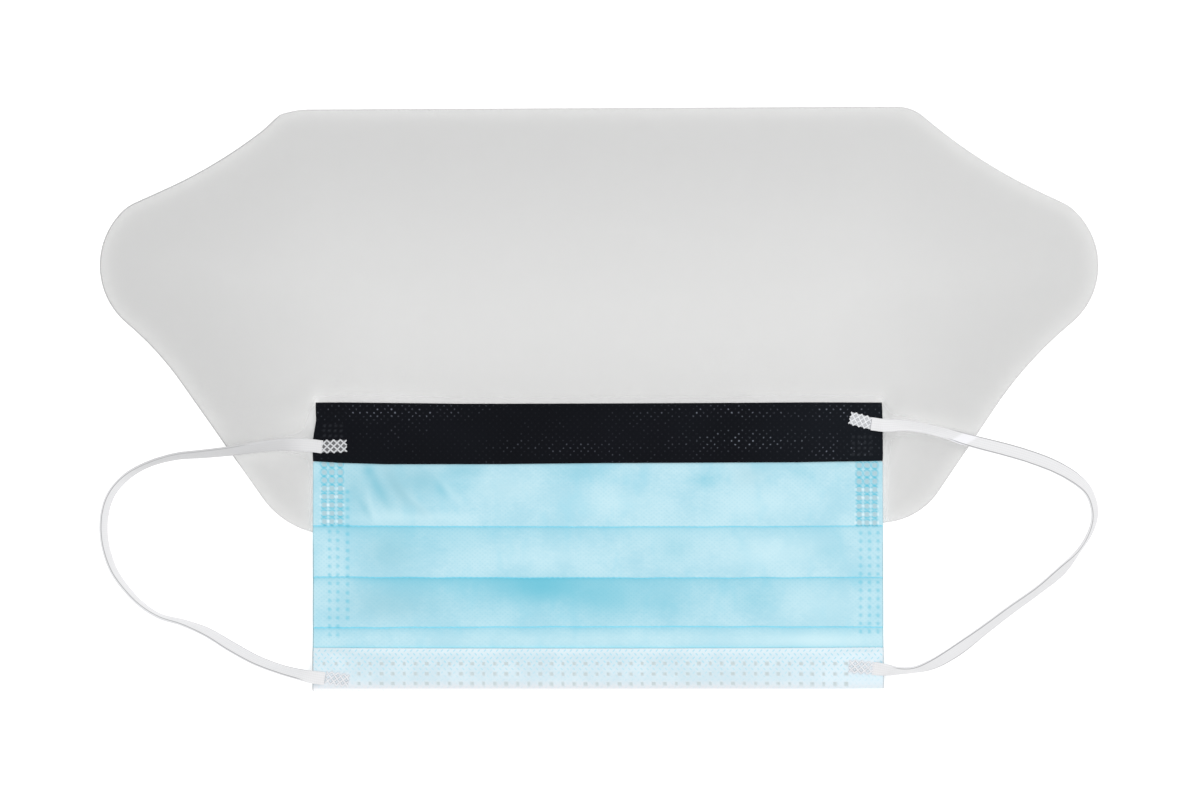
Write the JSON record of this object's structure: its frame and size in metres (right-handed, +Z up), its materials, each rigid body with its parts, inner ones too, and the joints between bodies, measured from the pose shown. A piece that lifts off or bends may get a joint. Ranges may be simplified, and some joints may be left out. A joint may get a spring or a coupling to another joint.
{
  "type": "face mask with eye shield",
  "caption": "Pleated blue face mask with a black top band, white hem and white ear loops, lying flat over a wide clear film eye shield with rounded lobes.",
  "frame": {"origin": "on the table, under the middle of the box round the shield and the mask", "axes": "+X across the mask to the picture's right, +Y up towards the shield's top edge, +Z up from the table, out of the mask's front"},
  "size_m": [0.3075, 0.18, 0.0068],
  "materials": {
    "clear_film": "clear smooth plastic film, slightly grey over white",
    "blue_cloth": "matt light blue nonwoven cloth with fine dot embossing",
    "black_cloth": "black nonwoven cloth with a fine diamond grid of small glints",
    "white_cloth": "bluish white nonwoven cloth with rows of small weld dots",
    "elastic": "white flat knitted elastic"
  },
  "bodies": {
    "root": {"eye_shield": "clear_film", "mask_body": "blue_cloth", "top_band": "black_cloth", "bottom_hem": "white_cloth", "ear_loop_weld_left_top": "elastic", "ear_loop_weld_right_top": "elastic", "ear_loop_weld_left_bottom": "elastic", "ear_loop_weld_right_bottom": "elastic", "ear_loop_left": "elastic", "ear_loop_right": "elastic"}
  },
  "joints": []
}
